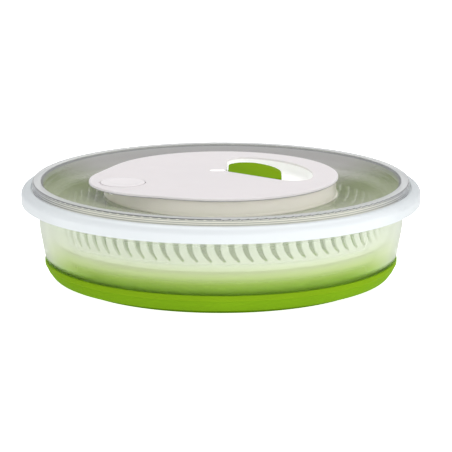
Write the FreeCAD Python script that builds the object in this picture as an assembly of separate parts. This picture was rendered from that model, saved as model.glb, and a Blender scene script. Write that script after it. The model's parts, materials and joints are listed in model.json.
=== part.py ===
"""Collapsible salad spinner with a pull-cord drive, folded flat.

Millimetres, +Z up, origin at the bottom centre.  The bowl and the basket are each a rigid base and a rigid
ring joined by a folded soft skin.  The lid carries the cord drum, the recoil spring, the one-way clutch, the
drive disc, the pull handle and the brake.
"""

import FreeCAD
import Part

import math
import os

from FreeCAD import Vector

# ---------------------------------------------------------------- driving dimensions

COLLAR_R = 135.0            # bowl collar, the widest part
WALL_TOP_R = 123.0          # outside of the bowl wall under the collar
WALL_FOOT_R = 118.6         # outside of the bowl wall where the soft skin starts
WALL_T = 2.0
SKIN_TOP_Z = 17.0           # top edge of the soft skin on the bowl
SKIN_T = 1.6
BASE_R = 103.6              # rigid base disc of the bowl
BASE_Z = 2.2                # underside of the base disc, on its foot ring
COLLAR_SEAT_Z = 60.0        # top of the wall, under the collar
COLLAR_TOP_Z = 65.6
LEDGE_Z = 62.9              # ledge in the collar that carries the lid

LID_R = 127.2
LID_RIM_Z = 70.0
LID_RIM_IN_R = 121.6        # inner edge of the lid's flat rim
LID_FOOT_Z = 63.5           # lower edge of the lid's outside
LID_RIB_Z = 63.8            # lower edge of the rib that presses on the seal
LID_FLOOR_Z = 60.0          # top of the lid's floor inside the middle wall
LID_T = 1.9
DRUM_WALL_R = 77.8          # round wall in the middle of the lid
PLATE_Z = 71.0              # underside of the top plate
PLATE_TOP_Z = 73.0
PLATE_R = 79.0
PLATE_GAP = 0.3
SKIRT_R = 73.6
HINGE_EAR = 8.6             # how far each hinge ear stands to the side of the button's middle

LOBE_AZ = 203.5             # direction of the brake lobe of the top plate, degrees from +X
LOBE_R = 51.0
LOBE_DIST = 41.0

FAN_AZ = 25.5               # direction in which the handle pulls out
FAN_HALF = 63.5             # half the opening angle of the fan-shaped recess
FAN_R = 62.0
FAN_APEX = (3.6, 10.3)      # where the recess's two straight sides would meet
FAN_FLOOR_Z = 64.8
FAN_WALL = 1.6
HANDLE_R = 41.2
HANDLE_FLAT_X = 40.8        # the handle's outer end is flat here, towards its front corner
HANDLE_GAP = 1.2
HANDLE_Z = 66.0
HANDLE_TOP_Z = 74.2
HANDLE_DIP_Z = 72.6         # lowest line of the hollow across its top
HANDLE_DIP_R = 110.0

CORD_LIP_R = 1.5            # half the width of the cord's slot beside the recess
CORD_SLOT_HALF = 3.4

FERRULE_Z = 69.0
FERRULE_R = 2.0

BUTTON_AZ = 202.0
BUTTON_DIST = 70.8
BUTTON_R = 15.0
BUTTON_HOLE_R = 15.5
BUTTON_Z = 71.4
BUTTON_TOP_Z = 73.5
BUTTON_DISH_R = 95.0        # the sphere whose cap is the finger dish
HINGE_DIST = 82.2
HINGE_Z = 70.0
HINGE_PIN_R = 1.0
PLUNGER_DIST = 60.0
PLUNGER_R = 3.0

RUNNING_GAP = 0.05          # radial clearance of every shaft in its bore
SHAFT_R = 5.0
BOSS_R = 10.0               # tube of the pan that the cord drum turns on
WINDING_R = 24.0
PAN_Z = 50.0
PAN_R = 43.6

BASKET_R = 113.5
BASKET_T = 1.8
BASKET_FOOT_Z = 31.7
BASKET_TOP_Z = 55.4
BASKET_FLANGE_R = 117.0
BASKET_FLOOR_Z = 8.5
BASKET_FLOOR_R = 76.0
BASKET_SKIN_T = 1.4
SLOT_COUNT = 78
SLOT_W = 4.3
SLOT_FOOT_Z = 38.0
SLOT_TOP_Z = 50.2
PIVOT_R = 4.9

SCREW_R = 1.5
SCREW_DIST = 66.0
SCREW_AZIMUTHS = (112.0, 160.0, 256.0, 304.0)
LUG_COUNT = 6
LUG_DIST = 114.5

UP = Vector(0, 0, 1)
ORIGIN = Vector(0, 0, 0)


# ---------------------------------------------------------------- helpers

def polar(distance, azimuth, z=0.0):
    """Point at a distance from the axis in a direction given in degrees."""
    angle = math.radians(azimuth)
    return Vector(distance * math.cos(angle), distance * math.sin(angle), z)


def rounded_wire(corners):
    """Closed wire through 3-D corners, each (point, radius), with tangent arcs at the rounded ones."""
    edges = []
    starts = []
    ends = []
    middles = []
    for index, (corner, radius) in enumerate(corners):
        before = corners[index - 1][0] - corner
        after = corners[(index + 1) % len(corners)][0] - corner
        before.normalize()
        after.normalize()
        if radius <= 0:
            starts.append(corner)
            ends.append(corner)
            middles.append(None)
            continue
        half = before.getAngle(after) / 2
        reach = radius / math.tan(half)
        bisector = before + after
        bisector.normalize()
        starts.append(corner + before * reach)
        ends.append(corner + after * reach)
        middles.append(corner + bisector * (radius / math.sin(half) - radius))
    for index, middle in enumerate(middles):
        if middle is not None:
            edges.append(Part.Arc(starts[index], middle, ends[index]).toShape())
        following = starts[(index + 1) % len(corners)]
        if (following - ends[index]).Length > 1e-6:
            edges.append(Part.LineSegment(ends[index], following).toShape())
    return Part.Wire(edges)


def revolve(profile):
    """Solid of revolution about Z from corners (r, z) or (r, z, rounding radius)."""
    corners = [(Vector(corner[0], 0, corner[1]), corner[2] if len(corner) > 2 else 0.0)
               for corner in profile]
    return Part.Face(rounded_wire(corners)).revolve(ORIGIN, UP, 360)


def ring(inner, outer, low, high, edge=0.0):
    """Plain ring, with its four edges rounded when edge is given."""
    return revolve([(inner, low, edge), (outer, low, edge), (outer, high, edge), (inner, high, edge)])


def disc(radius, low, high, centre=ORIGIN):
    return Part.makeCylinder(radius, high - low, Vector(centre.x, centre.y, low), UP)


def sheet_profile(path, thickness):
    """Outline of a sheet of even thickness along a centre line of (r, z, bend radius) points."""
    half = thickness / 2
    left = []
    right = []
    for index, (r, z, bend) in enumerate(path):
        here = Vector(r, z, 0)
        before = here - Vector(*path[index - 1][:2], 0) if index else None
        after = Vector(*path[index + 1][:2], 0) - here if index + 1 < len(path) else None
        before = before or after
        after = after or before
        before.normalize()
        after.normalize()
        normal = Vector(-before.y - after.y, before.x + after.x, 0)
        miter = normal * (1 / (1 + before.dot(after)))
        turns_left = before.cross(after).z > 0
        inside = max(bend - half, 0.0)
        outside = bend + half if bend else 0.0
        near = here + miter * half
        far = here - miter * half
        left.append((near.x, near.y, inside if turns_left else outside))
        right.append((far.x, far.y, outside if turns_left else inside))
    return left + right[::-1]


def turned(shape, azimuth, z=0.0):
    """The shape turned about Z by azimuth degrees and lifted by z."""
    copy = shape.copy()
    copy.rotate(ORIGIN, UP, azimuth)
    copy.translate(Vector(0, 0, z))
    return copy


def vertical_edges(shape):
    return [edge for edge in shape.Edges
            if len(edge.Vertexes) == 2
            and abs(edge.tangentAt(edge.FirstParameter).z) > 0.999]


def flat_edges(shape, z):
    """Edges that lie wholly at height z."""
    return [edge for edge in shape.Edges
            if abs(edge.BoundBox.ZMin - z) < 1e-4 and abs(edge.BoundBox.ZMax - z) < 1e-4]


def fan_apex(inset):
    """Meeting point of the fan's straight sides when they are moved inwards by inset."""
    return Vector(*FAN_APEX) + polar(inset / math.sin(math.radians(FAN_HALF)), FAN_AZ)


def fan(inset, radius, low, high, corner, tip, bottom=0.0):
    """Prism with two straight sides from an apex and a round end about the axis, its corners rounded."""
    apex = fan_apex(inset)
    apex.z = low
    far = [apex + polar(2 * radius, FAN_AZ + side * FAN_HALF) for side in (-1, 1)]
    wedge = Part.Face(Part.makePolygon([apex, far[0], far[1], apex]))
    prism = wedge.extrude(Vector(0, 0, high - low)).common(disc(radius, low, high))
    corners = [edge for edge in vertical_edges(prism) if edge.CenterOfMass.distanceToPoint(apex) > radius / 3]
    prism = prism.makeFillet(corner, corners)
    nearest = min(vertical_edges(prism), key=lambda edge: edge.CenterOfMass.distanceToPoint(apex))
    prism = prism.makeFillet(tip, [nearest])
    return prism.makeFillet(bottom, flat_edges(prism, low)) if bottom else prism


def coil(radius, wire, low, high, turns):
    """Round-wire helical spring about Z."""
    path = Part.makeHelix((high - low) / turns, high - low, radius)
    section = Part.Wire(Part.Circle(Vector(radius, 0, 0), Vector(0, 1, 0), wire / 2).toShape())
    solid = Part.Wire(path).makePipeShell([section], True, True)
    solid.translate(Vector(0, 0, low))
    return solid


# ---------------------------------------------------------------- bowl

def bowl_base():
    """Rigid base disc with an upstanding rim for the soft skin and a boss for the pivot pin."""
    return revolve([(0, BASE_Z), (87.4, BASE_Z), (88.4, 0.6, 0.8), (92.0, 0.6, 6.0), (BASE_R, 1.9, 0.8),
                    (BASE_R, 7.2, 0.8), (101.8, 7.2, 0.8), (101.0, 4.2, 1.0),
                    (9.6, 4.2, 1.0), (9.0, 7.5), (PIVOT_R, 7.5), (PIVOT_R, 3.2), (0, 3.2)])


def foot_ring():
    return revolve([(74.0, BASE_Z), (74.0, 0, 0.9), (87.0, 0, 0.9), (87.0, BASE_Z)])


def pivot_pin():
    return revolve([(0, 3.2), (PIVOT_R, 3.2), (PIVOT_R, 12.0, 0.8), (0, 12.0)])


def pivot_washer():
    return ring(5.2, 9.0, 7.5, 8.4)


def bowl_membrane():
    """Soft skin: down the outside from the wall, up close behind it, and down again to the base disc."""
    path = [(117.8, SKIN_TOP_Z - 0.4, 0), (116.9, 11.4, 6.0), (113.4, 6.6, 5.0), (108.9, 4.3, 1.7),
            (112.4, 14.0, 8.0), (115.2, 29.0, 2.3), (110.4, 29.0, 2.3),
            (105.8, 9.0, 3.0), (105.2, 4.9, 1.2), (BASE_R, 4.9, 0)]
    bead = revolve([(116.6, 13.0), (118.2, 13.0), (119.0, 14.0, 0.6), (119.0, SKIN_TOP_Z, 0.5),
                    (116.6, SKIN_TOP_Z)])
    return revolve(sheet_profile(path, SKIN_T)).fuse(bead).removeSplitter()


def bowl_wall():
    """Frosted wall that rides on the top edge of the soft skin."""
    foot = SKIN_TOP_Z + 0.1
    return revolve([
        (WALL_FOOT_R - WALL_T, foot), (WALL_FOOT_R, foot), (122.9, 40.6, 60.0), (WALL_TOP_R, COLLAR_SEAT_Z),
        (WALL_TOP_R - WALL_T, COLLAR_SEAT_Z), (122.9 - WALL_T, 40.6, 60.0)])


def bowl_collar():
    """Wide collar on top of the wall: lid ledge inside, and a skirt that hangs down outside as a grip."""
    return revolve([
        (119.2, COLLAR_SEAT_Z, 0.5), (131.8, COLLAR_SEAT_Z, 3.0), (133.0, 55.0), (COLLAR_R - 0.3, 55.0, 0.4),
        (COLLAR_R, COLLAR_TOP_Z, 5.0), (128.2, COLLAR_TOP_Z, 0.8), (128.0, LEDGE_Z), (119.2, LEDGE_Z, 0.5)])


# ---------------------------------------------------------------- lid

def lid_cover():
    """Clear lid: hollow rim, floor that falls to the round middle wall, opening for the mechanism pan."""
    under = LID_FLOOR_Z - LID_T
    body = revolve([
        (LID_R, LID_FOOT_Z, 0.4), (LID_R, LID_RIM_Z, 1.2), (LID_RIM_IN_R, LID_RIM_Z, 0.8),
        (LID_RIM_IN_R - 0.4, 68.6, 0.4), (DRUM_WALL_R, LID_FLOOR_Z + 0.2, 1.5), (DRUM_WALL_R, PLATE_Z),
        (DRUM_WALL_R - LID_T, PLATE_Z), (DRUM_WALL_R - LID_T, LID_FLOOR_Z), (PAN_R + 0.8, LID_FLOOR_Z),
        (PAN_R + 0.8, under), (79.0, under, 2.0), (119.8, 66.3, 0.5), (119.8, LID_RIB_Z), (122.0, LID_RIB_Z),
        (122.0, 68.1, 0.5), (125.4, 68.1, 0.5), (125.4, LID_FOOT_Z)])
    body = body.cut(disc(BUTTON_HOLE_R + 0.6, 69.4, 80.0, polar(BUTTON_DIST, BUTTON_AZ)))
    body = body.cut(disc(PLUNGER_R + RUNNING_GAP, 50.0, 62.0, polar(PLUNGER_DIST, BUTTON_AZ)))
    for azimuth in SCREW_AZIMUTHS:
        body = body.cut(disc(SCREW_R, 50.0, 62.0, polar(SCREW_DIST, azimuth)))
    return body


def lid_gasket():
    return revolve([(119.8, LEDGE_Z, 0.2), (125.0, LEDGE_Z, 0.2), (125.0, LID_RIB_Z), (119.8, LID_RIB_Z)])


def plate_outline(z, inset=0.0):
    """Egg outline of the top plate: a big circle about the axis and a smaller one under the brake lobe."""
    big = PLATE_R - inset
    small = LOBE_R - inset
    spread = math.degrees(math.acos((big - small) / LOBE_DIST))
    centre = polar(LOBE_DIST, LOBE_AZ, z)
    first = polar(big, LOBE_AZ - spread, z)
    last = polar(big, LOBE_AZ + spread, z)
    near = centre + polar(small, LOBE_AZ - spread)
    far = centre + polar(small, LOBE_AZ + spread)
    return Part.Wire([
        Part.Arc(last, polar(big, LOBE_AZ + 180, z), first).toShape(),
        Part.LineSegment(first, near).toShape(),
        Part.Arc(near, centre + polar(small, LOBE_AZ), far).toShape(),
        Part.LineSegment(far, last).toShape()])


def hinge_block(half_width, radius, top, offset=0.0):
    """Rounded lug about the button hinge line, reaching up to a given height."""
    side = offset - half_width
    barrel = Part.makeCylinder(radius, 2 * half_width, Vector(HINGE_DIST, side, HINGE_Z), Vector(0, 1, 0))
    neck = Part.makeBox(2 * radius, 2 * half_width, top - HINGE_Z, Vector(HINGE_DIST - radius, side, HINGE_Z))
    return turned(barrel.fuse(neck).removeSplitter(), BUTTON_AZ)


def cord_slot(half_width, low, high):
    """Stadium prism where the cord comes up through the plate, just beside the recess."""
    reach = CORD_SLOT_HALF + half_width
    centre = Vector(-2.4, 12.6, low)
    corners = [(centre + Vector(side * reach, lift * half_width, 0), half_width * 0.99)
               for side, lift in ((-1, -1), (1, -1), (1, 1), (-1, 1))]
    return Part.Face(rounded_wire(corners)).extrude(Vector(0, 0, high - low))


def top_plate():
    """White plate with the fan recess, the button opening, a locating skirt and four screw bosses."""
    plate = Part.Face(plate_outline(PLATE_Z)).extrude(Vector(0, 0, PLATE_TOP_Z - PLATE_Z))
    plate = plate.makeFillet(0.9, flat_edges(plate, PLATE_TOP_Z))
    tub = fan(-FAN_WALL, FAN_R + FAN_WALL, FAN_FLOOR_Z - FAN_WALL, PLATE_TOP_Z - 0.5, 14.6, 6.1, bottom=5.5)
    skirt = ring(SKIRT_R, DRUM_WALL_R - LID_T - PLATE_GAP, 62.2, PLATE_Z)
    body = plate.fuse([tub, skirt])
    for azimuth in SCREW_AZIMUTHS:
        body = body.fuse(disc(3.6, 61.6, PLATE_Z, polar(SCREW_DIST, azimuth)))
    for side in (-1, 1):
        body = body.fuse(hinge_block(1.2, 2.4, PLATE_Z + 0.5, side * HINGE_EAR))
    body = body.cut(fan(0.0, FAN_R, FAN_FLOOR_Z, PLATE_TOP_Z + 5, 13.0, 4.5, bottom=4.0))
    button_hole = disc(BUTTON_HOLE_R, 69.2, 80.0, polar(BUTTON_DIST, BUTTON_AZ))
    hinge_side = disc(COLLAR_R, 60.0, PLATE_Z - 0.4).cut(disc(PLATE_R, 60.0, PLATE_Z - 0.4))
    body = body.cut(button_hole.cut(hinge_side))
    body = body.cut(cord_slot(CORD_LIP_R, 60.0, 80.0))
    for side in (-1, 1):
        start = Vector(HINGE_DIST, side * HINGE_EAR - 1.3, HINGE_Z)
        body = body.cut(turned(Part.makeCylinder(HINGE_PIN_R, 2.6, start, Vector(0, 1, 0)), BUTTON_AZ))
    for azimuth in SCREW_AZIMUTHS:
        body = body.cut(disc(SCREW_R, 60.0, 68.0, polar(SCREW_DIST, azimuth)))
    return body


def mechanism_pan():
    """Pan under the plate that holds the drum, with the tube that the drum turns on."""
    body = revolve([
        (8.0, PAN_Z), (PAN_R, PAN_Z, 2.0), (PAN_R, LID_FLOOR_Z), (73.0, LID_FLOOR_Z), (73.0, 61.6, 0.5),
        (PAN_R - 1.6, 61.6, 1.0), (PAN_R - 1.6, 51.6, 1.0), (BOSS_R, 51.6), (BOSS_R, 57.9), (8.0, 57.9)])
    body = body.cut(disc(PLUNGER_R + RUNNING_GAP, 50.0, 62.0, polar(PLUNGER_DIST, BUTTON_AZ)))
    for azimuth in SCREW_AZIMUTHS:
        body = body.cut(disc(SCREW_R, 50.0, 62.0, polar(SCREW_DIST, azimuth)))
    return body


def shaft_bush():
    return ring(SHAFT_R + RUNNING_GAP, 8.0, PAN_Z, 57.9)


def recoil_spring():
    """Flat spiral strip inside the drum, drawn as half circles about two centres."""
    strip = 0.4
    pitch = 0.85
    inner = 12.3
    half_turns = 20
    step = pitch / 2
    forward = []
    back = []
    for index in range(half_turns):
        centre = Vector(step / 2 if index % 2 else -step / 2, 0, 53.0)
        side = -1 if index % 2 else 1
        for edges, radius in ((forward, inner + index * step), (back, inner + index * step + strip)):
            start = centre + Vector(side * radius, 0, 0)
            middle = centre + Vector(0, side * radius, 0)
            end = centre + Vector(-side * radius, 0, 0)
            edges.append(Part.Arc(start, middle, end))
    caps = [Part.LineSegment(forward[0].StartPoint, back[0].StartPoint),
            Part.LineSegment(forward[-1].EndPoint, back[-1].EndPoint)]
    edges = [curve.toShape() for curve in forward + back + caps]
    return Part.Face(Part.Wire(Part.sortEdges(edges)[0])).extrude(Vector(0, 0, 4.4))


def cord_eyelet():
    """Metal-lined lip that the cord runs over."""
    return cord_slot(CORD_LIP_R, 70.4, 73.25).cut(cord_slot(CORD_LIP_R - 1.1, 70.0, 74.0))


def housing_screws():
    screws = []
    for azimuth in SCREW_AZIMUTHS:
        under_head = LID_FLOOR_Z - LID_T
        screw = revolve([(0, 56.3), (3.0, 56.3, 0.8), (3.0, under_head), (SCREW_R, under_head),
                         (SCREW_R, 68.0), (0, 68.0)])
        screw.translate(polar(SCREW_DIST, azimuth))
        screws.append(screw)
    return Part.makeCompound(screws)


def button_hinge_pin():
    start = Vector(HINGE_DIST, -9.8, HINGE_Z)
    return turned(Part.makeCylinder(HINGE_PIN_R, 19.6, start, Vector(0, 1, 0)), BUTTON_AZ)


# ---------------------------------------------------------------- drive

def cord_drum():
    """Drum with the cord groove outside and the recoil spring's chamber inside, open below."""
    bore = BOSS_R + RUNNING_GAP
    return revolve([
        (bore, 52.6), (11.8, 52.6), (11.8, 58.1), (21.6, 58.1), (21.6, 52.2), (30.0, 52.2),
        (30.0, 53.4, 0.4), (WINDING_R, 53.6), (WINDING_R, 57.9), (30.0, 58.1, 0.4), (30.0, 59.3),
        (5.6, 59.3), (5.6, 58.1), (bore, 58.1)])


def clutch_spring():
    return coil(10.3, 0.7, 59.75, 61.1, 1.6)


def drive_shaft():
    return revolve([(0, 50.0), (2.0, 50.0), (2.0, 43.0), (SHAFT_R, 43.0), (SHAFT_R, 61.4, 0.5), (0, 61.4)])


def clutch_hub():
    return ring(SHAFT_R, 9.4, 59.5, 61.2)


def thrust_washer():
    return ring(SHAFT_R + 0.2, 9.5, 49.2, 49.9)


def disc_screw():
    return revolve([(0, 40.8), (7.0, 40.8, 1.2), (7.0, 43.0), (2.0, 43.0), (2.0, 50.0), (0, 50.0)])


def drive_disc():
    """Clear dished disc that closes the basket and drives it by lugs that drop into its rim."""
    body = revolve([
        (SHAFT_R, 43.0), (10.0, 43.0), (10.6, 44.2), (91.5, 44.2, 8.0), (104.1, 55.8, 3.0), (116.5, 55.8),
        (116.5, 57.4, 0.7), (102.9, 57.4, 3.0), (90.7, 46.0, 8.0), (11.0, 46.0, 1.0), (11.0, 49.2),
        (SHAFT_R, 49.2)])
    lug = Part.makeBox(1.8, 8.2, 3.6, Vector(LUG_DIST - 0.9, -4.1, BASKET_TOP_Z - 2.8))
    for index in range(LUG_COUNT):
        body = body.fuse(turned(lug, index * 360 / LUG_COUNT))
    return body.removeSplitter()


# ---------------------------------------------------------------- brake

def brake_button():
    """Round rocker with its hinge barrel under the outer side."""
    cap = disc(BUTTON_R, BUTTON_Z, BUTTON_TOP_Z, polar(BUTTON_DIST, BUTTON_AZ))
    cap = cap.makeFillet(0.8, flat_edges(cap, BUTTON_TOP_Z))
    dish_centre = polar(BUTTON_DIST - 2.0, BUTTON_AZ, BUTTON_TOP_Z - 0.7 + BUTTON_DISH_R)
    cap = cap.cut(Part.makeSphere(BUTTON_DISH_R, dish_centre))
    body = cap.fuse(hinge_block(7.0, 2.1, BUTTON_Z + 0.5))
    start = Vector(HINGE_DIST, -8.0, HINGE_Z)
    bore = Part.makeCylinder(HINGE_PIN_R + RUNNING_GAP, 16.0, start, Vector(0, 1, 0))
    return body.cut(turned(bore, BUTTON_AZ))


def brake_plunger():
    rod = revolve([(0, 50.3), (PLUNGER_R, 50.3), (PLUNGER_R, 69.0), (5.4, 69.0), (5.4, 70.0, 0.4),
                   (PLUNGER_R, 70.0), (PLUNGER_R, 71.0, 0.8), (0, 71.0)])
    rod.translate(polar(PLUNGER_DIST, BUTTON_AZ))
    return rod


def brake_pad():
    pad = revolve([(0, 48.3), (6.0, 48.3, 0.8), (6.0, 50.3, 0.4), (0, 50.3)])
    pad.translate(polar(PLUNGER_DIST, BUTTON_AZ))
    return pad


def brake_spring():
    spring = coil(4.3, 0.7, 62.0, 68.6, 4.25)
    spring.translate(polar(PLUNGER_DIST, BUTTON_AZ))
    return spring


# ---------------------------------------------------------------- pull handle

def meet_circle(start, azimuth, radius):
    """Point where a level ray from start meets a circle about the axis."""
    ray = polar(1.0, azimuth)
    along = start.dot(ray)
    return start + ray * (math.sqrt(along ** 2 - start.dot(start) + radius ** 2) - along)


def handle_blank():
    """Fan-shaped block a gap inside the recess, its outer end flat near the front corner."""
    apex = fan_apex(HANDLE_GAP)
    slope = math.tan(math.radians(FAN_AZ - FAN_HALF))
    front = Vector(HANDLE_FLAT_X, apex.y + (HANDLE_FLAT_X - apex.x) * slope, 0)
    bend = Vector(HANDLE_FLAT_X, math.sqrt(HANDLE_R ** 2 - HANDLE_FLAT_X ** 2), 0)
    back = meet_circle(apex, FAN_AZ + FAN_HALF, HANDLE_R)
    outline = Part.Wire([
        Part.LineSegment(apex, front).toShape(), Part.LineSegment(front, bend).toShape(),
        Part.Arc(bend, polar(HANDLE_R, 2 * FAN_AZ), back).toShape(), Part.LineSegment(back, apex).toShape()])
    outline.translate(Vector(0, 0, HANDLE_Z))
    block = Part.Face(outline).extrude(Vector(0, 0, HANDLE_TOP_Z - HANDLE_Z))
    for corner, radius in ((apex, 2.6), (front, 3.5), (back, 7.0), (bend, 25.0)):
        middle = corner + Vector(0, 0, (HANDLE_Z + HANDLE_TOP_Z) / 2)
        nearest = min(vertical_edges(block), key=lambda edge: edge.CenterOfMass.distanceToPoint(middle))
        block = block.makeFillet(radius, [nearest])
    block = block.makeFillet(1.5, flat_edges(block, HANDLE_Z))
    return block.makeFillet(1.0, flat_edges(block, HANDLE_TOP_Z))


def ferrule_rod(radius, start, length):
    """Rod along the pull direction, from a distance past the handle's apex."""
    apex = fan_apex(HANDLE_GAP) + polar(start, FAN_AZ)
    return Part.makeCylinder(radius, length, Vector(apex.x, apex.y, FERRULE_Z), polar(1.0, FAN_AZ))


def pull_handle():
    """Fan-shaped grip, hollowed across its top so that its outer rim stands up, bored for the cord end."""
    body = handle_blank()
    middle = fan_apex(HANDLE_GAP) + polar(8.0, FAN_AZ) + polar(80.0, FAN_AZ - 90)
    middle.z = HANDLE_DIP_Z + HANDLE_DIP_R
    body = body.cut(Part.makeCylinder(HANDLE_DIP_R, 160.0, middle, polar(1.0, FAN_AZ + 90)))
    return body.cut(ferrule_rod(FERRULE_R, -8.0, 17.5))


def cord_ferrule():
    return ferrule_rod(FERRULE_R, 2.5, 7.0)


# ---------------------------------------------------------------- basket

def basket_floor_slots():
    """Radial drain slots in three rings."""
    slots = []
    for distance, count in ((26.0, 12), (44.0, 20), (62.0, 28)):
        slot = Part.makeBox(12.0, 3.0, 10.0, Vector(distance - 6.0, -1.5, BASKET_FLOOR_Z - 4))
        slot = slot.makeFillet(1.45, vertical_edges(slot))
        slots += [turned(slot, index * 360 / count) for index in range(count)]
    return slots


def basket_base():
    top = BASKET_FLOOR_Z + 2.0
    body = revolve([
        (7.0, BASKET_FLOOR_Z), (BASKET_FLOOR_R, BASKET_FLOOR_Z), (BASKET_FLOOR_R, top, 0.5), (9.6, top, 1.2),
        (9.2, 14.0, 1.0), (0, 14.0), (0, 12.5), (7.0, 12.5)])
    return body.cut(Part.makeCompound(basket_floor_slots()))


def basket_bush():
    return ring(PIVOT_R + RUNNING_GAP, 7.0, BASKET_FLOOR_Z, 12.5)


def basket_membrane():
    """Soft basket wall, folded down, up and down again between the ring and the base."""
    path = [(BASKET_R - BASKET_T - 0.4, 33.8, 0), (97.5, 33.8, 2.5), (92.8, 10.4, 1.8), (88.9, 10.4, 1.8),
            (91.3, 32.6, 1.8), (87.1, 32.6, 1.8), (84.9, 9.6, 1.8), (BASKET_FLOOR_R + 0.05, 9.6, 0)]
    return revolve(sheet_profile(path, BASKET_SKIN_T))


def leaf_slot():
    """Slot shaped like a bent leaf: upright and wide at the top, leaning over and narrow at its foot."""
    depth = 10.0

    def at(sideways, z):
        return Vector(BASKET_R - depth / 2, sideways, z)

    outline = [
        Part.LineSegment(at(-SLOT_W, SLOT_TOP_Z), at(0.0, SLOT_TOP_Z)),
        Part.Arc(at(0.0, SLOT_TOP_Z), at(0.9, SLOT_TOP_Z - 7.0), at(3.6, SLOT_FOOT_Z + 1.0)),
        Part.Arc(at(3.6, SLOT_FOOT_Z + 1.0), at(3.0, SLOT_FOOT_Z), at(1.4, SLOT_FOOT_Z + 0.6)),
        Part.Arc(at(1.4, SLOT_FOOT_Z + 0.6), at(-2.7, SLOT_TOP_Z - 7.0), at(-SLOT_W, SLOT_TOP_Z))]
    wire = Part.Wire([curve.toShape() for curve in outline])
    return Part.Face(wire).extrude(Vector(depth, 0, 0))


def basket_ring():
    """Slotted basket wall with pockets in its rim for the lugs of the drive disc."""
    inner = BASKET_R - BASKET_T
    body = revolve([
        (inner, BASKET_FOOT_Z), (BASKET_R, BASKET_FOOT_Z, 0.6), (BASKET_R, BASKET_TOP_Z - 4.4, 2.0),
        (BASKET_FLANGE_R, BASKET_TOP_Z - 3.2, 0.6), (BASKET_FLANGE_R, BASKET_TOP_Z, 0.6),
        (inner, BASKET_TOP_Z, 0.4)])
    slots = [turned(leaf_slot(), (index + 0.5) * 360 / SLOT_COUNT) for index in range(SLOT_COUNT)]
    pocket = Part.makeBox(2.6, 9.2, 5.0, Vector(LUG_DIST - 1.3, -4.6, BASKET_TOP_Z - 3.1))
    pockets = [turned(pocket, index * 360 / LUG_COUNT) for index in range(LUG_COUNT)]
    return body.cut(Part.makeCompound(slots)).cut(Part.makeCompound(pockets))


NODES = (
    bowl_base, foot_ring, pivot_pin, pivot_washer, bowl_membrane, bowl_wall, bowl_collar,
    lid_cover, lid_gasket, top_plate, mechanism_pan, shaft_bush, recoil_spring, cord_eyelet, housing_screws,
    button_hinge_pin, cord_drum, clutch_spring, drive_shaft, clutch_hub, thrust_washer, disc_screw,
    drive_disc, brake_button, brake_plunger, brake_pad, brake_spring, pull_handle, cord_ferrule,
    basket_base, basket_bush, basket_membrane, basket_ring)


def main():
    os.makedirs("parts", exist_ok=True)
    for build in NODES:
        shape = build()
        if not shape.isValid():
            raise ValueError(build.__name__ + " is not a valid shape")
        shape.exportStep("parts/" + build.__name__ + ".step")
        print(build.__name__, shape.ShapeType, len(shape.Solids), round(shape.Volume, 1))


main()
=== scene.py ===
"""Studio picture of a folding salad spinner: looks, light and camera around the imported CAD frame."""

import json
import math

import bpy
import numpy as np
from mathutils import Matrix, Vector


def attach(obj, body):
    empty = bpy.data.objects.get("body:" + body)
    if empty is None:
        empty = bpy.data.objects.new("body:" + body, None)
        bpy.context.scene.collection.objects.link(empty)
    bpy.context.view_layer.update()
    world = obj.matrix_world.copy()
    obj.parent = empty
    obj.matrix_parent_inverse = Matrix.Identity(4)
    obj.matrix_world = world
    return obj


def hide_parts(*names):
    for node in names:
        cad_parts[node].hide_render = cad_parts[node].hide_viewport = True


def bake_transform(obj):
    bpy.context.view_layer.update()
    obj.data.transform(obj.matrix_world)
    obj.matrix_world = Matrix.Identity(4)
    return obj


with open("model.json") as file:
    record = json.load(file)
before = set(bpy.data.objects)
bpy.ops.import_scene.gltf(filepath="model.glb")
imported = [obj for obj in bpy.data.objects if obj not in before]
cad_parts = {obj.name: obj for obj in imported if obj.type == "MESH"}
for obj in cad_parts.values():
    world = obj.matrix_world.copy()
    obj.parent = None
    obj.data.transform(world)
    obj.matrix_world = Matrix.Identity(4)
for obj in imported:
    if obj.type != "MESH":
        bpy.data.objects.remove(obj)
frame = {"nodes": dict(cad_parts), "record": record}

NODES = frame["nodes"]
MM = 0.001
TURNS = 216                 # facets round a revolved piece
WIRE_SIDES = 12             # facets round a wire
BEND_STEP = math.radians(8)     # about the turn from one point of a bend to the next
BEND_SHARE = 0.1            # how much of a step between stations a bend counts for
SKIN_GRAIN = 2200           # scale of the fine grain of moulded plastic

# Heights that materials follow, in metres.
WALL_LOW = 0.017            # just under the foot of the frosted wall
WALL_HIGH = 0.062           # just over its top edge
WHITE_LOW = 0.060           # below the skirt of the top plate
HOLLOW_TOP = 0.0712         # white surfaces below this lie in the recess or under the plate, and get painted light there
WHITE_HIGH = 0.074          # above the plate's face
HANDLE_LOW = 0.0722         # just under the lowest line of the handle's hollow
HANDLE_TOP = 0.0742

# Distances from the spin axis that materials follow, in metres.
PLATE_EDGE = (0.072, 0.073)         # the painted shadow along the plate's lower edge starts between these
MIDDLE_WALL = 0.0785                # the lid's middle wall lies inside this
LID_FLOOR = (0.0792, 0.1196)        # the lid's floor, from the middle wall to the rib under its rim
RIM_PAINTED_HIGHLIGHT = (0.1218, 0.1262)         # painted pale highlight band along the top of the lid's rim
LID_LOW = 0.076                     # range of the lid's ramps
LID_HIGH = 0.128
LID_SIDE = (0.12705, 0.12712)       # the lid's outer side starts between these
LID_LINE_PITCH = 1.35 * MM          # from one painted stripe of the turned lines to the next on that side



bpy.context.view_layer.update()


# ---------------------------------------------------------------- material building blocks

def linear(red, green, blue):
    """Colour given as 0-255 display values, as Blender's linear numbers."""
    def one(value):
        share = value / 255
        return share / 12.92 if share <= 0.04045 else ((share + 0.055) / 1.055) ** 2.4
    return (one(red), one(green), one(blue), 1.0)


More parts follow.
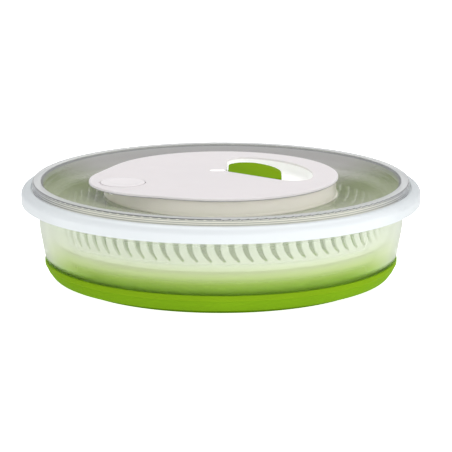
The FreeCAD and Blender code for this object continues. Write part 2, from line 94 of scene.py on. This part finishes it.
def scaled(colour, factor):
    return tuple(min(1.0, channel * factor) for channel in colour[:3]) + (1.0,)


class Builder:
    """Short forms for making and linking the nodes of one material."""

    def __init__(self, name):
        self.material = bpy.data.materials.new(name)
        self.material.use_nodes = True
        self.tree = self.material.node_tree
        self.shader = next(n for n in self.tree.nodes if n.type == "BSDF_PRINCIPLED")
        self.place = self.tree.nodes.new("ShaderNodeTexCoord").outputs["Object"]

    def feed(self, socket, value):
        if isinstance(value, bpy.types.NodeSocket):
            self.tree.links.new(value, socket)
        else:
            socket.default_value = value

    def node(self, kind, inputs=None, **settings):
        made = self.tree.nodes.new(kind)
        for key, value in settings.items():
            setattr(made, key, value)
        for key, value in (inputs or {}).items():
            self.feed(made.inputs[key], value)
        return made

    def set(self, **values):
        """Sets or links sockets of the shader; underscores stand for spaces."""
        for key, value in values.items():
            self.feed(self.shader.inputs[key.replace("_", " ")], value)

    def noise(self, scale, detail=3.0, stretch=(1, 1, 1)):
        place = self.node("ShaderNodeMapping", {"Vector": self.place, "Scale": stretch}).outputs[0]
        inputs = {"Vector": place, "Scale": scale, "Detail": detail}
        return self.node("ShaderNodeTexNoise", inputs).outputs[0]

    def spread(self, value, low, high, start=0.3, end=0.7):
        """Maps start to end onto low to high, and holds the ends."""
        return self.node("ShaderNodeMapRange", {"Value": value, "From Min": start, "From Max": end,
                                                "To Min": low, "To Max": high}).outputs[0]

    def band(self, value, rise, fall):
        """1 between two edges and 0 outside them; rise and fall are each (start, end)."""
        return self.maths("MULTIPLY", self.spread(value, 0.0, 1.0, *rise),
                          self.spread(value, 1.0, 0.0, *fall))

    def mix(self, factor, first, second):
        return self.node("ShaderNodeMix", {0: factor, 6: first, 7: second}, data_type="RGBA").outputs[2]

    def maths(self, operation, first, second=0.0):
        return self.node("ShaderNodeMath", {0: first, 1: second}, operation=operation).outputs[0]

    def height(self):
        return self.node("ShaderNodeSeparateXYZ", {0: self.place}).outputs[2]

    def vector(self, operation, first, second=(0, 0, 0)):
        return self.node("ShaderNodeVectorMath", {0: first, 1: second}, operation=operation)

    def from_axis(self):
        """Level vector from the spin axis."""
        return self.vector("MULTIPLY", self.place, (1, 1, 0)).outputs[0]

    def radius(self):
        """Distance from the spin axis."""
        return self.vector("LENGTH", self.from_axis()).outputs["Value"]

    def ramp(self, factor, low, high, stops):
        """Colour or grey by a value from low to high; each stop is (value, colour)."""
        made = self.node("ShaderNodeValToRGB", {0: self.spread(factor, 0.0, 1.0, low, high)})
        elements = made.color_ramp.elements
        while len(elements) < len(stops):
            elements.new(0.5)
        for element, (value, colour) in zip(elements, stops):
            element.position = (value - low) / (high - low)
            element.color = colour if isinstance(colour, tuple) else (colour, colour, colour, 1.0)
        return made.outputs[0]

    def edge_on(self):
        """0 on a face seen square on, towards 1 on a face seen edge-on."""
        return self.node("ShaderNodeLayerWeight", {"Blend": 0.5}).outputs["Facing"]

    def seen_only(self, alpha, share):
        """Alpha as the camera sees it; light passes through with only a share of it."""
        camera = self.node("ShaderNodeLightPath").outputs["Is Camera Ray"]
        self.set(Alpha=self.maths("MULTIPLY", alpha, self.spread(camera, share, 1.0, 0.0, 1.0)))

    def bump(self, height, strength, distance=0.05):
        """Bump whose full height is a distance in mm."""
        self.set(Normal=self.node("ShaderNodeBump", {"Height": height, "Strength": strength,
                                                     "Distance": distance * MM}).outputs[0])


def surface(name, roughness, bump):
    """Plastic without its colour: a fine skin grain, and patches that are a little more worn."""
    b = Builder(name)
    b.set(Roughness=b.spread(b.noise(60.0, 4.0), roughness - 0.04, roughness + 0.05))
    b.bump(b.noise(SKIN_GRAIN, 2.0), bump)
    return b


def moulded(name, colour, roughness, bump=0.1, shift=0.04):
    """Moulded plastic with a faint cloudy colour, lighter and darker by a share of it."""
    b = surface(name, roughness, bump)
    clouds = b.spread(b.noise(14.0), 0.0, 1.0)
    b.set(Base_Color=b.mix(clouds, scaled(colour, 1 - shift), scaled(colour, 1 + shift)))
    return b


# ---------------------------------------------------------------- materials, one for each slot of the record

def white_plastic():
    """White moulding, a little translucent, with painted light: lighter and glowing down in its hollows, and
    a painted shadow along the plate's lower edge.
    """
    b = surface("white_plastic", 0.34, bump=0.02)
    height = b.height()
    # Painted light: a lighter white below HOLLOW_TOP, in the recess and under the plate.
    white = b.ramp(height, WHITE_LOW, WHITE_HIGH, [
        (WHITE_LOW, linear(254, 253, 252)), (HOLLOW_TOP, linear(254, 253, 252)),
        (HOLLOW_TOP + MM, linear(223, 217, 219)), (WHITE_HIGH, linear(226, 220, 222))])
    # Painted shadow: a dark grey line along the plate's lower outer edge.
    outer = b.spread(b.radius(), 0.0, 1.0, *PLATE_EDGE)
    painted_edge_shadow = b.band(height, (0.0706, 0.0709), (0.0713, 0.0717))
    b.set(Base_Color=b.mix(b.maths("MULTIPLY", outer, painted_edge_shadow), white, linear(122, 116, 124)))
    # Painted glow in the hollows, though no lamp is there.
    b.set(Emission_Color=(1, 1, 1, 1), Emission_Strength=b.spread(height, 0.11, 0.0, 0.0708, 0.0720))
    b.set(Subsurface_Weight=0.4, Subsurface_Radius=(1.0, 0.95, 0.9), Subsurface_Scale=5 * MM)
    return b.material


def green(name, colour, roughness, shift):
    """Green rubbery plastic with hardly any gloss."""
    b = moulded(name, colour, roughness, bump=0.05, shift=shift)
    b.set(Specular_IOR_Level=0.004)
    return b


def green_soft():
    return green("green_soft", linear(122, 163, 26), 0.46, 0.05).material


def green_gloss():
    """Green of the bowl's base and of the handle, with painted shade: darker in the handle's dished middle,
    paler on its raised rim.
    """
    b = surface("green_gloss", 0.32, bump=0.05)
    # Painted shade by height: darkest at the bottom of the handle's dish and below it, paler up on its rim.
    b.set(Specular_IOR_Level=0.001, Base_Color=b.ramp(b.height(), HANDLE_LOW, HANDLE_TOP, [
        (HANDLE_LOW, linear(106, 143, 8)), (0.0730, linear(117, 154, 16)), (0.0738, linear(120, 156, 16)),
        (HANDLE_TOP, linear(121, 154, 14))]))
    return b.material


def bead_green():
    """Rolled edge of the bowl skin; its rounded top catches the light, and its colour, a little lighter and
    yellower than the skin, is a painted highlight.
    """
    # Painted highlight: a lighter, yellower green than the skin.
    return green("bead_green", linear(127, 165, 26), 0.4, 0.03).material


def frosted_plastic():
    """Frosted wall: clearest at its foot, where the green skin is close behind, and painted green there with
    that skin's light; milky above and edge-on.
    """
    b = surface("frosted_plastic", 0.36, bump=0.05)
    height = b.height()
    edge = b.edge_on()
    # Painted light: the green at the foot stands in for the green skin's light showing in the wall, fading
    # to milky white above.
    body = b.ramp(height, WALL_LOW, WALL_HIGH, [
        (WALL_LOW, linear(150, 200, 84)), (0.024, linear(174, 197, 106)), (0.031, linear(206, 219, 166)),
        (0.040, linear(214, 222, 196)), (WALL_HIGH, linear(222, 229, 216))])
    above_foot = b.spread(height, 0.0, 1.0, WALL_LOW + 1.5 * MM, WALL_LOW + 4.5 * MM)
    edge_tint = b.maths("MULTIPLY", b.spread(edge, 0.0, 1.0, 0.54, 0.92), above_foot)
    b.set(Base_Color=b.mix(edge_tint, body, linear(184, 191, 176)))
    milky = b.ramp(height, WALL_LOW, WALL_HIGH, [
        (WALL_LOW, 0.06), (0.024, 0.28), (0.029, 0.54), (0.034, 0.54), (0.039, 0.31), (0.050, 0.31),
        (WALL_HIGH, 0.58)])
    edge_milk = b.maths("MULTIPLY", b.spread(edge, 0.0, 0.86, 0.26, 0.72), above_foot)
    b.seen_only(b.maths("MAXIMUM", milky, edge_milk), 0.3)
    b.set(Specular_IOR_Level=0.25)
    return b.material


def collar_plastic():
    """Thick frosted collar, nearly white, with painted shade: greyer where it turns away."""
    b = surface("collar_plastic", 0.34, bump=0.04)
    # Painted shade: greyer as the collar turns away.
    painted_turn_shade = b.spread(b.edge_on(), 0.0, 1.0, 0.4, 1.0)
    b.set(Base_Color=b.mix(painted_turn_shade, linear(228, 233, 236), linear(182, 188, 192)))
    b.seen_only(0.93, 0.5)
    return b.material


def basket_plastic():
    """Milky basket plastic; the faces turned towards the axis are painted green, standing in for the green
    light the skins reflect onto them.
    """
    b = surface("basket_plastic", 0.4, bump=0.05)
    outward = b.vector("NORMALIZE", b.from_axis()).outputs[0]
    normal = b.node("ShaderNodeTexCoord").outputs["Normal"]
    facing = b.vector("DOT_PRODUCT", normal, outward).outputs["Value"]
    away_from_axis = b.spread(facing, 0.0, 1.0, -0.8, 0.6)
    # Painted reflection: green on the faces turned towards the axis.
    b.set(Base_Color=b.mix(away_from_axis, linear(166, 186, 118), linear(234, 240, 224)))
    b.seen_only(0.95, 0.5)
    return b.material


def clear_plastic():
    """Smoke-clear lid with painted light and shade: a painted tint on its floor, painted dark lines at both
    edges of the rim and a pale highlight along its top, and painted stripes for turned lines on its outer
    side.
    """
    b = surface("clear_plastic", 0.16, bump=0.01)
    radius = b.radius()
    edge = b.edge_on()
    # Painted light on the lid's floor by how edge-on it is seen: grey, then the green of the skins showing
    # through, then paler.
    painted_floor_tint = b.ramp(edge, 0.6, 1.0, [
        (0.60, linear(168, 166, 167)), (0.68, linear(163, 161, 158)), (0.76, linear(108, 120, 70)),
        (0.86, linear(118, 130, 76)), (0.97, linear(196, 194, 180))])
    # Painted light by radius: near white on the middle wall, lifting the shade on the white skirt behind it;
    # painted dark lines at both edges of the rim, a painted pale highlight between them.
    painted_radial_light = b.ramp(radius, LID_LOW, LID_HIGH, [
        (LID_LOW, linear(250, 243, 232)), (0.1204, linear(96, 98, 98)), (0.1213, linear(104, 106, 106)),
        (RIM_PAINTED_HIGHLIGHT[0], linear(208, 210, 211)), (RIM_PAINTED_HIGHLIGHT[1], linear(208, 210, 211)),
        (0.1268, linear(112, 114, 116))])
    on_floor = b.band(radius, (0.0786, LID_FLOOR[0]), (0.1198, 0.1203))
    upper_side = b.mix(on_floor, painted_radial_light, painted_floor_tint)
    # Painted shade and light on the outer side: darker where it turns away; light crests and dark valleys
    # painted as the turned lines.
    lid_turn_shade = b.spread(edge, 0.0, 1.0, 0.3, 0.75)
    painted_valley_shade = b.mix(lid_turn_shade, linear(178, 178, 168), linear(74, 77, 84))
    painted_crest_light = b.mix(lid_turn_shade, linear(236, 235, 218), linear(178, 180, 184))
    lines = b.maths("SINE", b.maths("MULTIPLY", b.height(), 2 * math.pi / LID_LINE_PITCH))
    outer_side = b.mix(b.spread(lines, 0.0, 1.0, -0.6, 0.6), painted_valley_shade, painted_crest_light)
    b.set(Base_Color=b.mix(b.spread(radius, 0.0, 1.0, *LID_SIDE), upper_side, outer_side))
    b.seen_only(b.ramp(radius, LID_LOW, LID_HIGH, [
        (LID_LOW, 0.52), (MIDDLE_WALL, 0.52), (LID_FLOOR[0], 0.64), (LID_FLOOR[1], 0.64), (0.1213, 0.66),
        (0.1270, 0.78)]), 0.2)
    b.set(Specular_IOR_Level=0.08)
    return b.material


def basket_floor():
    """Milky basket floor; its green-grey colour is a painted glow of the green base close under it."""
    b = moulded("basket_floor", linear(146, 166, 96), 0.4, bump=0.05, shift=0.03)
    b.seen_only(0.95, 0.5)
    return b.material


def button_plastic():
    """White like the plate, and a little glossier."""
    return moulded("button_plastic", linear(232, 227, 229), 0.22, bump=0.01, shift=0.004).material


def painted_glint_lip():
    """Bright lip that the cord runs over, glowing as a painted highlight."""
    b = moulded("painted_glint_lip", linear(252, 252, 250), 0.3, bump=0.01, shift=0.004)
    # Painted highlight: the lip glows, though it is no lamp.
    b.set(Emission_Color=(1, 1, 1, 1), Emission_Strength=0.35)
    return b.material


def clear_disc():
    """Drive disc, nearly as clear as glass."""
    b = moulded("clear_disc", linear(205, 208, 200), 0.2, bump=0.01, shift=0.01)
    b.seen_only(0.10, 0.3)
    return b.material


def seal_rubber():
    return moulded("seal_rubber", linear(190, 192, 192), 0.55).material


def bearing_plastic():
    return moulded("bearing_plastic", linear(226, 224, 214), 0.4).material


def metal(name, colour, roughness):
    """Metal with fine level lines in its polish."""
    b = Builder(name)
    b.set(Base_Color=b.mix(b.noise(500.0, 4.0, (1, 1, 12)), colour, scaled(colour, 0.85)), Metallic=1.0,
          Roughness=b.spread(b.noise(300.0, stretch=(1, 1, 10)), roughness - 0.06, roughness + 0.08))
    b.bump(b.noise(900.0, stretch=(1, 1, 14)), 0.08)
    return b.material


def brass():
    return metal("brass", linear(214, 178, 104), 0.28)


def steel():
    return metal("steel", linear(205, 205, 203), 0.25)


MATERIALS = {make.__name__: make() for make in (
    white_plastic, green_soft, green_gloss, frosted_plastic, collar_plastic, basket_plastic, clear_plastic,
    seal_rubber, bearing_plastic, brass, steel)}
OWN_MATERIALS = {"drive_disc": clear_disc(), "cord_eyelet": painted_glint_lip(), "basket_base": basket_floor(),
                 "brake_button": button_plastic()}


def dress_cad_nodes():
    """Gives every CAD node the material of its slot in the record, or its own where it has one."""
    for part in frame["record"]["subparts"]:
        name = part["node"]
        node = NODES[name]
        node.data.materials.clear()
        node.data.materials.append(OWN_MATERIALS.get(name) or MATERIALS[part["material_slot"]])


# ---------------------------------------------------------------- folded skins

def rounded_line(stations):
    """Smooth (r, z) line round (r, z, bend radius) stations, and each point's place among them."""
    line = []
    places = []
    last = len(stations) - 1
    for index, (r, z, bend) in enumerate(stations):
        here = Vector((r, z))
        if index in (0, last):
            line.append(here)
            places.append(float(index))
            continue
        before = (Vector(stations[index - 1][:2]) - here).normalized()
        after = (Vector(stations[index + 1][:2]) - here).normalized()
        half = before.angle(after) / 2
        middle = here + (before + after).normalized() * bend / math.sin(half)
        first = here + before * bend / math.tan(half) - middle
        turn = math.copysign(math.pi - 2 * half, before.cross(after))
        count = max(3, math.ceil(abs(turn) / BEND_STEP))
        for share in np.linspace(0, 1, count + 1):
            angle = -turn * share
            spun = Vector((first.x * math.cos(angle) - first.y * math.sin(angle),
                           first.x * math.sin(angle) + first.y * math.cos(angle)))
            line.append(middle + spun)
            places.append(index + (share - 0.5) * BEND_SHARE)
    return np.array(line), np.array(places)


def thickened(line, thickness):
    """Closed outline of a sheet about its centre line, with square ends."""
    along = np.gradient(line, axis=0)
    along /= np.linalg.norm(along, axis=1)[:, None]
    across = np.column_stack([-along[:, 1], along[:, 0]]) * thickness / 2
    return np.vstack([line + across, line[::-1] - across[::-1]])


def smooth_piece(name, points, faces):
    """Object from points and faces, shaded smooth."""
    mesh = bpy.data.meshes.new(name)
    mesh.from_pydata(points.tolist(), [], faces)
    mesh.polygons.foreach_set("use_smooth", [True] * len(faces))
    mesh.update()
    piece = bpy.data.objects.new(name, mesh)
    bpy.context.scene.collection.objects.link(piece)
    return piece


def revolved(name, outline):
    """Mesh made by turning a closed (r, z) outline, in mm, about the axis."""
    count = len(outline)
    angles = np.linspace(0, 2 * math.pi, TURNS, endpoint=False)
    r, z = outline[:, 0] * MM, outline[:, 1] * MM
    points = np.stack([np.outer(np.cos(angles), r), np.outer(np.sin(angles), r),
                       np.broadcast_to(z, (TURNS, count))], axis=2).reshape(-1, 3)
    faces = []
    for turn in range(TURNS):
        near, far = turn * count, (turn + 1) % TURNS * count
        for index in range(count):
            after = (index + 1) % count
            faces.append((near + index, far + index, far + after, near + after))
    return smooth_piece(name, points, faces)


def folded_skin(name, stations, thickness, node):
    """Soft skin turned from its folded outline, standing in for a CAD node, which it hides."""
    line, places = rounded_line(stations)
    outline = thickened(line, thickness)
    piece = revolved(name, outline)
    piece.data.materials.append(MATERIALS["green_soft"])
    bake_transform(piece)
    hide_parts(node)


def bowl_skin():
    """Green skin: down the outside, up close behind the wall, and down to the base disc."""
    stations = [(117.8, 16.6, 0), (116.9, 11.4, 6.0), (113.4, 6.6, 5.0), (108.9, 4.3, 1.7),
                (112.4, 14.0, 8.0), (115.2, 29.0, 2.3), (110.4, 29.0, 2.3), (105.8, 9.0, 3.0),
                (105.2, 4.9, 1.2), (103.8, 4.9, 0)]
    thickness = 1.6
    folded_skin("bowl_skin", stations, thickness, "bowl_membrane")
    outline, _ = rounded_line([(116.6, 13.0, 0), (118.2, 13.0, 0.5), (119.0, 14.0, 0.6),
                               (119.0, 17.0, 0.5), (116.6, 17.0, 0)])
    bead = revolved("bowl_skin_bead", outline)
    bead.data.materials.append(bead_green())
    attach(bead, "bowl_ring")


def basket_skin():
    """Soft basket wall with two folds: an outer one starting at the slotted ring, and an inner one."""
    stations = [(111.3, 33.8, 0), (97.5, 33.8, 2.5), (92.8, 10.4, 1.8), (88.9, 10.4, 1.8),
                (91.3, 32.6, 1.8), (87.1, 32.6, 1.8), (84.9, 9.6, 1.8), (76.2, 9.6, 0)]
    thickness = 1.4
    folded_skin("basket_skin", stations, thickness, "basket_membrane")


def wire(name, line, radius):
    """Round wire along a line of points, closed at both ends."""
    sides = WIRE_SIDES
    along = np.gradient(line, axis=0)
    along /= np.linalg.norm(along, axis=1)[:, None]
    out = np.cross(along, (0.0, 0.0, 1.0))
    out /= np.linalg.norm(out, axis=1)[:, None]
    other = np.cross(along, out)
    angles = np.linspace(0, 2 * math.pi, sides, endpoint=False)
    ring = out[:, None] * np.cos(angles)[:, None] + other[:, None] * np.sin(angles)[:, None]
    points = (line[:, None] + ring * radius).reshape(-1, 3)
    faces = [tuple(range(sides))[::-1], tuple(range(len(points) - sides, len(points)))]
    for start in range(0, len(points) - sides, sides):
        for side in range(sides):
            after = (side + 1) % sides
            faces.append((start + side, start + after, start + sides + after, start + sides + side))
    return smooth_piece(name, points, faces)


def brake_coil():
    """Return spring of the brake, standing on the lid under the plunger."""
    azimuth = math.radians(202)
    distance = 60.0             # of the coil's own axis from the spin axis
    coil_radius = 4.3
    wire_radius = 0.35
    foot, top = 62.0, 68.6
    turns = 4.25
    shares = np.linspace(0, 1, 140)
    angles = shares * turns * 2 * math.pi
    line = np.column_stack([distance * math.cos(azimuth) + coil_radius * np.cos(angles),
                            distance * math.sin(azimuth) + coil_radius * np.sin(angles),
                            foot + (top - foot) * shares]) * MM
    piece = wire("brake_coil", line, wire_radius * MM)
    piece.data.materials.append(MATERIALS["steel"])
    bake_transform(piece)
    shares = np.repeat(shares, WIRE_SIDES).astype(np.float32)
    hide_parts("brake_spring")


# ---------------------------------------------------------------- studio

def floor():
    """White lit table: bright enough to lose the object's shadow almost completely."""
    b = Builder("studio_floor")
    b.set(Base_Color=b.mix(b.spread(b.noise(3.0), 0.0, 1.0), linear(246, 246, 246), linear(250, 250, 250)),
          Roughness=0.6, Specular_IOR_Level=0.2, Emission_Color=(1, 1, 1, 1))
    camera_ray = b.node("ShaderNodeLightPath").outputs["Is Camera Ray"]
    b.set(Emission_Strength=b.spread(camera_ray, 0.45, 1.0, 0.0, 1.0))
    bpy.ops.mesh.primitive_circle_add(vertices=96, radius=9.0, fill_type="NGON", location=(0, 0, 0))
    made = bpy.context.object
    made.name = "studio_floor"
    made.data.materials.append(b.material)


def area_light(name, place, target, width, height, power):
    data = bpy.data.lights.new(name, "AREA")
    data.shape = "RECTANGLE"
    data.size = width
    data.size_y = height
    data.energy = power
    light = bpy.data.objects.new(name, data)
    light.location = place
    light.rotation_euler = (Vector(target) - Vector(place)).to_track_quat("-Z", "Y").to_euler()
    bpy.context.scene.collection.objects.link(light)
    light.visible_camera = False


def studio():
    world = bpy.data.worlds.new("white_studio")
    world.use_nodes = True
    background = world.node_tree.nodes["Background"]
    background.inputs[0].default_value = (1.0, 1.0, 1.0, 1)
    background.inputs[1].default_value = 0.75
    bpy.context.scene.world = world
    area_light("overhead_softbox", place=(0.1, 0.2, 1.3), target=(0, 0, 0.05),
               width=1.6, height=1.2, power=7.0)
    area_light("front_right_softbox", place=(0.9, -0.9, 0.5), target=(0, 0, 0.04),
               width=0.8, height=0.6, power=2.6)
    floor()


def camera():
    """Long lens, a little above the rim, looking along +Y."""
    elevation = math.radians(12.5)
    distance = 2.706
    aim = Vector((3.4 * MM, 0.0, 37.3 * MM))
    data = bpy.data.cameras.new("front_camera")
    data.sensor_width = 36.0
    data.lens = 318.6
    data.clip_end = 40.0
    made = bpy.data.objects.new("front_camera", data)
    made.location = aim + Vector((0, -math.cos(elevation), math.sin(elevation))) * distance
    made.rotation_euler = (aim - made.location).to_track_quat("-Z", "Y").to_euler()
    bpy.context.scene.collection.objects.link(made)
    bpy.context.scene.camera = made


def picture_settings():
    scene = bpy.context.scene
    scene.view_settings.view_transform = "Standard"
    scene.view_settings.look = "None"
    scene.cycles.transparent_max_bounces = 48
    scene.cycles.max_bounces = 12
    scene.cycles.use_denoising = True


dress_cad_nodes()
bowl_skin()
basket_skin()
brake_coil()
studio()
camera()
picture_settings()
